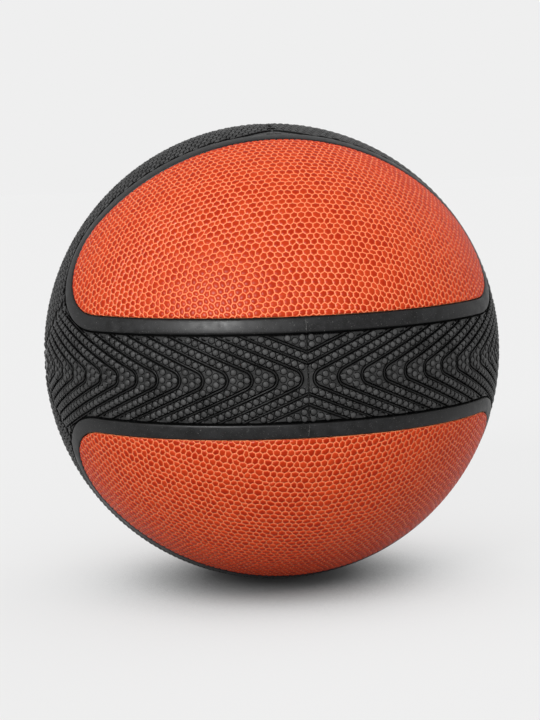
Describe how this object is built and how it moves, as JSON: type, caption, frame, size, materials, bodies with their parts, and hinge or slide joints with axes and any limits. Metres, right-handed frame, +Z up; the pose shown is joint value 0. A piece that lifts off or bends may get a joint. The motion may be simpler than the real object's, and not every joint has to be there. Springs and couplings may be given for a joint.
{
  "type": "basketball",
  "caption": "Size 7 basketball: pebbled panels in smooth raised borders, set in a black rubber cover with chevron grip ribs, over a carcass, winding and valved bladder.",
  "frame": {"origin": "centre of the ball", "axes": "+Z up, -Y towards the middle of the two front panels, which is the side that the picture shows, +X along the valve's axis, out of the needle hole's mouth; X = 0 is the plane on which the two halves of the cover meet"},
  "size_m": [0.2419, 0.242, 0.242],
  "materials": {
    "bladder_rubber": "matte",
    "winding_thread": "matte",
    "carcass_rubber": "matte",
    "valve_rubber": "satin",
    "plug_rubber": "satin",
    "grip_rubber": "satin",
    "backing_cloth": "matte",
    "panel_skin": "satin",
    "border_rubber": "satin"
  },
  "bodies": {
    "root": {"bladder": "bladder_rubber", "winding": "winding_thread", "carcass": "carcass_rubber", "valve_housing": "valve_rubber", "valve_plug": "plug_rubber", "grip_cover_left": "grip_rubber", "grip_cover_right": "grip_rubber", "backing_upper_front": "backing_cloth", "backing_lower_front": "backing_cloth", "backing_upper_back": "backing_cloth", "backing_lower_back": "backing_cloth", "panel_upper_front": "panel_skin", "panel_lower_front": "panel_skin", "panel_upper_back": "panel_skin", "panel_lower_back": "panel_skin", "border_upper_front": "border_rubber", "border_lower_front": "border_rubber", "border_upper_back": "border_rubber", "border_lower_back": "border_rubber"}
  },
  "joints": []
}
